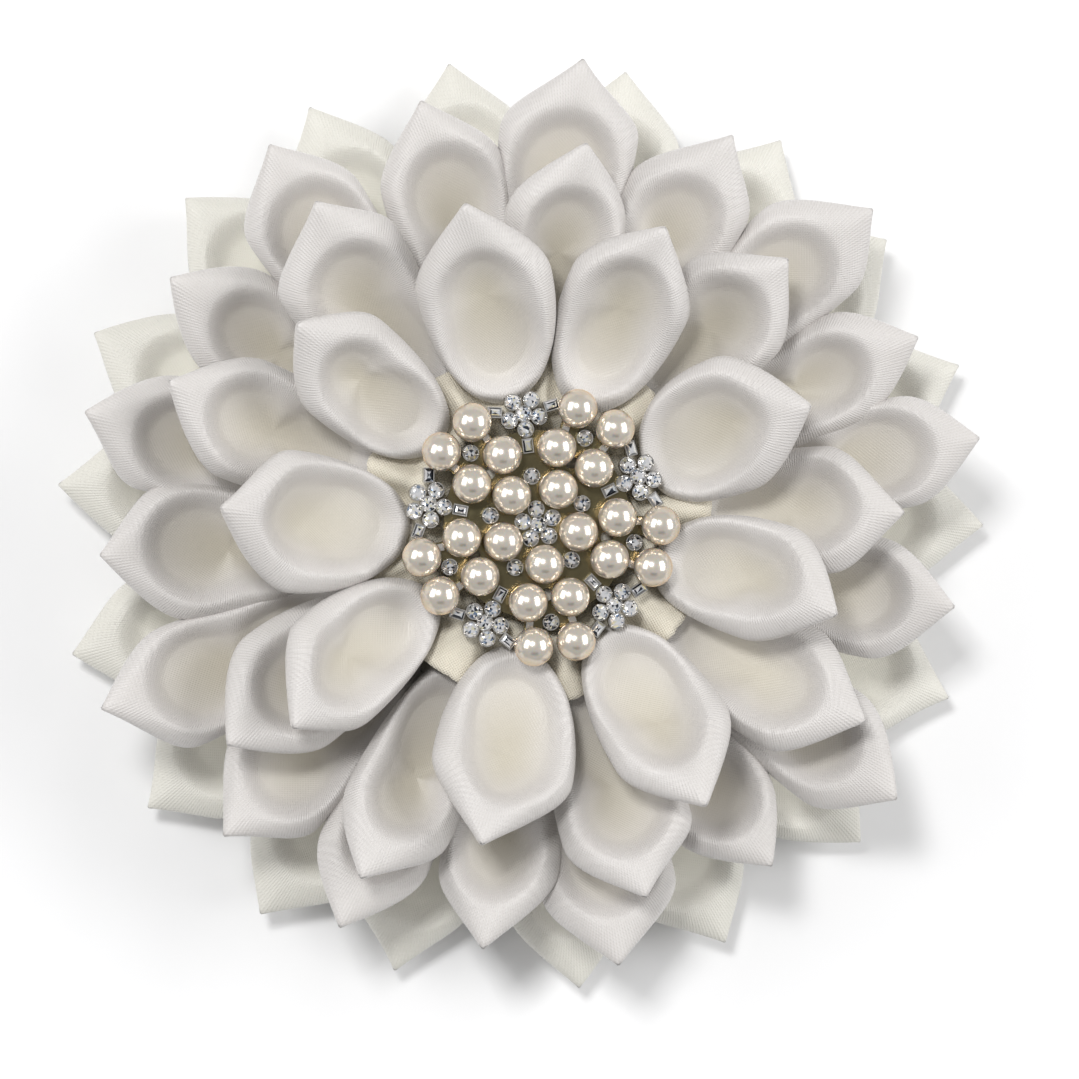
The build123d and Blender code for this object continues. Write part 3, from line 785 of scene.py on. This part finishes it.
def oblong_places():
    """Every oblong stone's place and the way its long side runs."""
    places = []
    for axis in STAR_AXES:
        x, y = polar(STAR_CENTRE, axis)
        for reach, turn in ((3.7, 80), (3.7, -80), (4.1, 180)):
            dx, dy = polar(reach, axis + turn)
            places.append((x + dx, y + dy, axis + turn))
    return places


def add_painted_glints(piece, painted_glints):
    """How much painted glint each facet shows, from 0 for painted dark to 1 for painted bright."""
    piece.data.attributes.new("painted_glint", "FLOAT", "FACE").data.foreach_set("value", painted_glints)


def build_round_stones():
    """Brilliant-cut stones: a table, star facets, a crown, a girdle and a pointed back."""
    rng = random.Random(51)
    points, faces, painted_glints = [], [], []
    for x, y in stone_places():
        base = len(points)
        turn = rng.uniform(0, 45)
        points.append((x, y, CUP_TOP_Z + 0.40 + rng.uniform(-0.03, 0.03)))
        for share, z, count, offset in (
            (0.50, CUP_TOP_Z + 0.45, 8, 0.0), (0.77, CUP_TOP_Z + 0.27, 8, 22.5),
            (1.00, CUP_TOP_Z + 0.02, 16, 11.25), (0.98, CUP_TOP_Z - 0.06, 16, 11.25),
        ):
            for k in range(count):
                dx, dy = polar(STONE_RADIUS * share, turn + offset + 360 * k / count)
                points.append((x + dx, y + dy, z))
        points.append((x, y, SEAT_Z + 0.02))
        table, star, girdle, belt, point = base + 1, base + 9, base + 17, base + 33, base + 49
        for k in range(8):
            n = (k + 1) % 8
            faces.append((base, table + k, table + n))
            faces.append((table + k, star + k, table + n))
            faces.append((table + k, star + (k - 1) % 8, girdle + (2 * k - 1) % 16))
            faces.append((table + k, girdle + (2 * k - 1) % 16, star + k))
            faces.append((star + k, girdle + (2 * k - 1) % 16, girdle + 2 * k, girdle + 2 * k + 1))
            # Each facet gets a random painted glint, from painted dark to painted bright.
            painted_glints += [rng.random() for _ in range(5)]
        for k in range(16):
            n = (k + 1) % 16
            faces.append((girdle + k, belt + k, belt + n, girdle + n))
            faces.append((belt + k, point, belt + n))
            painted_glints += [rng.random(), rng.random()]
    stones = add_mesh("brilliant_stones", points, faces, CRYSTAL, smooth=False)
    add_painted_glints(stones, painted_glints)
    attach(stones, "flower")
    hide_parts("round_stones")


def build_oblong_stones():
    """Step-cut stones: a split table and two steps down to the girdle on every side."""
    rng = random.Random(52)
    points, faces, painted_glints = [], [], []
    for x, y, turn in oblong_places():
        base = len(points)
        cosine, sine = polar(1.0, turn)
        rings = ((0.42, 0.22, 0.45), (0.62, 0.38, 0.33), (0.80, 0.55, 0.08), (0.79, 0.54, -0.1))
        points.append((x, y, CUP_TOP_Z + 0.42))
        for half_long, half_wide, z in rings:
            for a, b in ((1, 1), (-1, 1), (-1, -1), (1, -1)):
                u, v = a * half_long, b * half_wide
                points.append((x + u * cosine - v * sine, y + u * sine + v * cosine, CUP_TOP_Z + z))
        points.append((x, y, SEAT_Z + 0.02))
        for k in range(4):
            n = (k + 1) % 4
            faces.append((base, base + 1 + k, base + 1 + n))
            for ring in range(3):
                a = base + 1 + 4 * ring
                faces.append((a + k, a + 4 + k, a + 4 + n, a + n))
            faces.append((base + 13 + k, base + 17, base + 13 + n))
            # Each facet gets a random painted glint, from painted dark to painted bright.
            painted_glints += [0.3 + 0.7 * rng.random() if rng.random() < 0.75 else 0.1 for _ in range(5)]
    stones = add_mesh("step_cut_stones", points, faces, CRYSTAL, smooth=False)
    add_painted_glints(stones, painted_glints)
    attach(stones, "flower")
    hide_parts("baguettes")


def build_claws():
    """Small claws bent over the stones' edges, four to a stone."""
    # Up a claw and over the stone: distance from the stone's middle, half width, height.
    profile = ((1.08, 0.15, 27.0), (1.08, 0.14, 27.85), (0.98, 0.12, 28.02), (0.80, 0.09, 28.06),
               (0.78, 0.08, 27.95))
    points, faces = [], []
    for index, (x, y) in enumerate(stone_places()):
        for k in range(4):
            angle = 45 + 90 * k + 17 * index
            out = polar(1.0, angle)
            side = polar(1.0, angle + 90)
            base = len(points)
            for reach, half, z in profile:
                for sign in (-1, 1):
                    points.append((x + out[0] * reach + side[0] * half * sign,
                                   y + out[1] * reach + side[1] * half * sign, z))
            for step in range(len(profile) - 1):
                a = base + 2 * step
                faces.append((a, a + 1, a + 3, a + 2))
    claws = add_mesh("setting_claws", points, faces, CASTING)
    wall = claws.modifiers.new("wall", "SOLIDIFY")
    wall.thickness = 0.12 * MM
    wall.offset = 0.0
    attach(claws, "flower")


build_round_stones()
build_oblong_stones()
build_claws()


# ----------------------------------------------------------------------- spring

def build_spring():
    """A wire coiled round the hinge pin, with a leg under each tail of the clip."""
    pin_x, pin_z, mean, wire, turns, half = 4.0, 6.0, 1.75, 0.3, 4.5, 1.8
    path = [(15.0, -half, 8.67), (9.5, -half, 8.21)]
    steps = 126
    for i in range(steps + 1):
        angle = 2 * math.pi * turns * i / steps
        y = -half + 2 * half * i / steps
        path.append((pin_x - mean * math.sin(angle), y, pin_z + mean * math.cos(angle)))
    path += [(6.5, half, 4.12), (9.0, half, 4.0), (12.0, half, 3.47), (15.0, half, 2.95)]
    path = np.array(path)
    sides = 12
    points, faces = [], []
    for i, here in enumerate(path):
        ahead = path[min(i + 1, len(path) - 1)] - path[max(i - 1, 0)]
        ahead = ahead / np.linalg.norm(ahead)
        first = np.array([0.0, 1.0, 0.0]) - ahead * ahead[1]
        first = first / np.linalg.norm(first)
        second = np.cross(ahead, first)
        for k in range(sides):
            turn = 2 * math.pi * k / sides
            points.append(here + wire * (first * math.cos(turn) + second * math.sin(turn)))
    for i in range(len(path) - 1):
        for k in range(sides):
            n = (k + 1) % sides
            a = i * sides
            faces.append((a + k, a + n, a + sides + n, a + sides + k))
    faces.append(tuple(range(sides - 1, -1, -1)))
    last = (len(path) - 1) * sides
    faces.append(tuple(range(last, last + sides)))
    spring = add_mesh("coiled_spring", points, faces, SPRING_STEEL)
    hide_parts("torsion_spring")
    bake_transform(spring)


build_spring()


# ------------------------------------------------------------- carried-over CAD

def finish_node(node, material):
    """A CAD node keeps its shape and gets its material."""
    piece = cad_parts[node]
    piece.data.materials.clear()
    piece.data.materials.append(material)


finish_node("pearls", PEARL)
finish_node("jewel_base", CASTING)
for clip_part in ("clip_base", "clip_lever", "hinge_pin"):
    finish_node(clip_part, NICKEL)


# ------------------------------------------------------- floor, light and camera

def plane(name, size, location, material):
    """A flat square of the studio."""
    half = size / 2
    mesh = bpy.data.meshes.new(name)
    corners = [(-half, -half, 0), (half, -half, 0), (half, half, 0), (-half, half, 0)]
    mesh.from_pydata(corners, [], [(0, 1, 2, 3)])
    mesh.materials.append(material)
    made = bpy.data.objects.new(name, mesh)
    made.location = location
    bpy.context.scene.collection.objects.link(made)
    return made


def plain(name, colour, roughness):
    """A studio material of one colour."""
    material, _, shader = new_material(name)
    shader.inputs["Base Color"].default_value = colour
    shader.inputs["Roughness"].default_value = roughness
    return material


def area_light(name, location, aim, width, height, power):
    """A rectangular soft light that faces a point."""
    data = bpy.data.lights.new(name, "AREA")
    data.shape = "RECTANGLE"
    data.size = width
    data.size_y = height
    data.energy = power
    lamp = bpy.data.objects.new(name, data)
    lamp.location = location
    lamp.rotation_euler = (Vector(aim) - Vector(location)).to_track_quat("-Z", "Y").to_euler()
    bpy.context.scene.collection.objects.link(lamp)


plane("floor", 6.0, (0, 0, 0), plain("white_floor", (0.90, 0.90, 0.905, 1), 0.9))
dark_card = plane("dark_card", 0.20, (0.0, -0.46, 0.53), plain("dark_card", (0.02, 0.02, 0.02, 1), 0.9))
dark_card.rotation_euler = (math.radians(41), 0, 0)
dark_card.scale = (2.3, 1.1, 1.0)
dark_card.visible_camera = False

area_light("left_box", (-0.50, 0.16, 0.43), (0, 0, 0.02), 0.50, 0.30, 1.5)
area_light("right_box", (0.50, 0.08, 0.43), (0, 0, 0.02), 0.50, 0.30, 2.4)
area_light("top_lamp", (-0.24, 0.27, 0.86), (0, 0, 0.02), 0.16, 0.16, 3.9)

world = bpy.data.worlds.new("studio")
world.use_nodes = True
world.node_tree.nodes["Background"].inputs[0].default_value = (1.0, 1.0, 1.0, 1)
world.node_tree.nodes["Background"].inputs[1].default_value = 0.34
bpy.context.scene.world = world
bpy.context.scene.view_settings.view_transform = "Standard"

CAMERA_TILT = math.radians(5.5)
CAMERA_DISTANCE = 0.65
FRAME_WIDTH = 0.1392
aim_at = Vector((0.0011, -0.0019, 0.018))
away = Vector((-math.sin(CAMERA_TILT), 0, math.cos(CAMERA_TILT)))
camera_data = bpy.data.cameras.new("camera")
camera_data.sensor_width = 36.0
camera_data.lens = 36.0 * CAMERA_DISTANCE / FRAME_WIDTH
camera_data.clip_start = 0.05
camera = bpy.data.objects.new("camera", camera_data)
camera.location = aim_at + away * CAMERA_DISTANCE
right = Vector((0, 1, 0)).cross(away).normalized()
camera.rotation_mode = "QUATERNION"
camera.rotation_quaternion = Matrix((right, away.cross(right), away)).transposed().to_quaternion()
bpy.context.scene.collection.objects.link(camera)
bpy.context.scene.camera = camera
